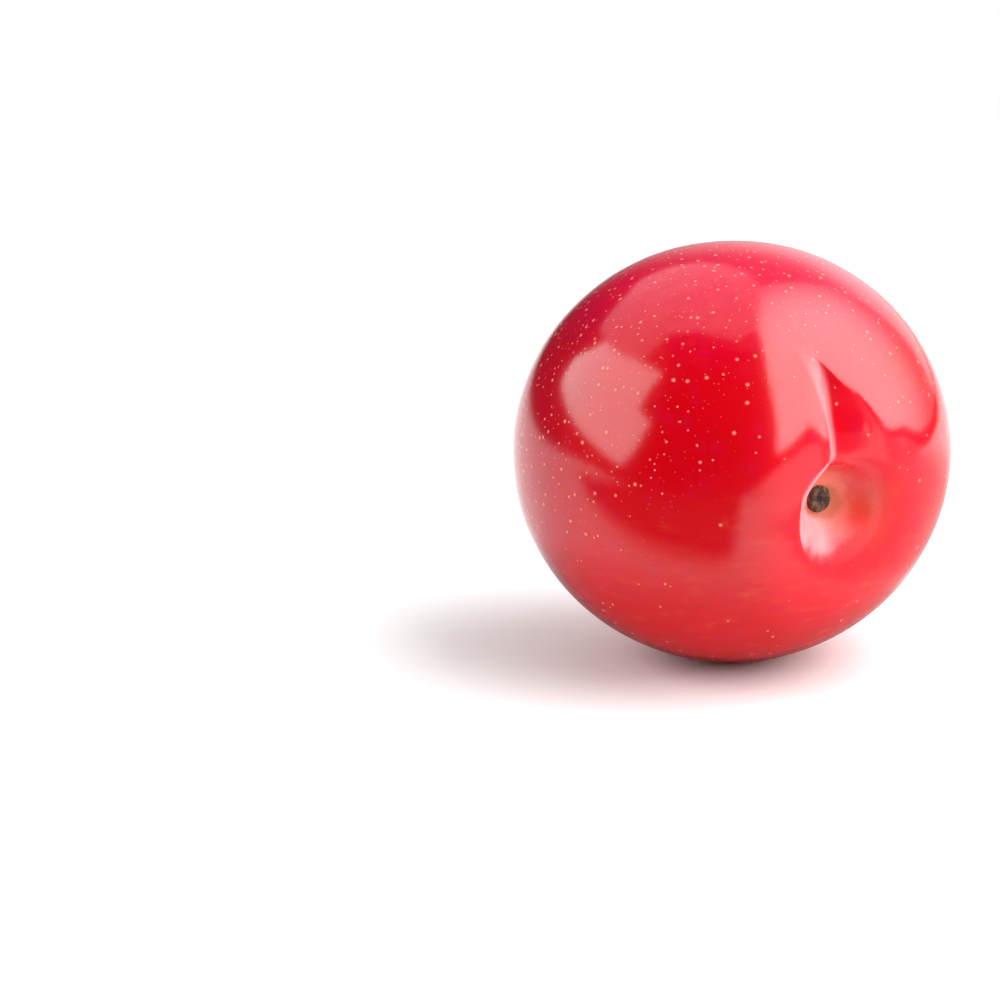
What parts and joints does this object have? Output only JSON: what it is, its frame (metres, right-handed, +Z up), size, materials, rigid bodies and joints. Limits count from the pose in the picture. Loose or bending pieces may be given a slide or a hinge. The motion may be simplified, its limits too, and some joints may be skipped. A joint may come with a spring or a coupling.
{
  "type": "plum",
  "caption": "Whole round red dessert plum lying on its side, with a stalk cavity, a suture groove and a small flat spot to rest on.",
  "frame": {"origin": "middle of the small flat spot that the fruit rests on", "axes": "+Z up, -Y towards the stalk end, X across the two cheeks, with the suture on top in the plane X = 0"},
  "size_m": [0.0616, 0.0602, 0.059],
  "materials": {
    "skin": "smooth waxy fruit skin, glossy, crimson with pale dots"
  },
  "bodies": {
    "root": {"plum": "skin"}
  },
  "joints": []
}
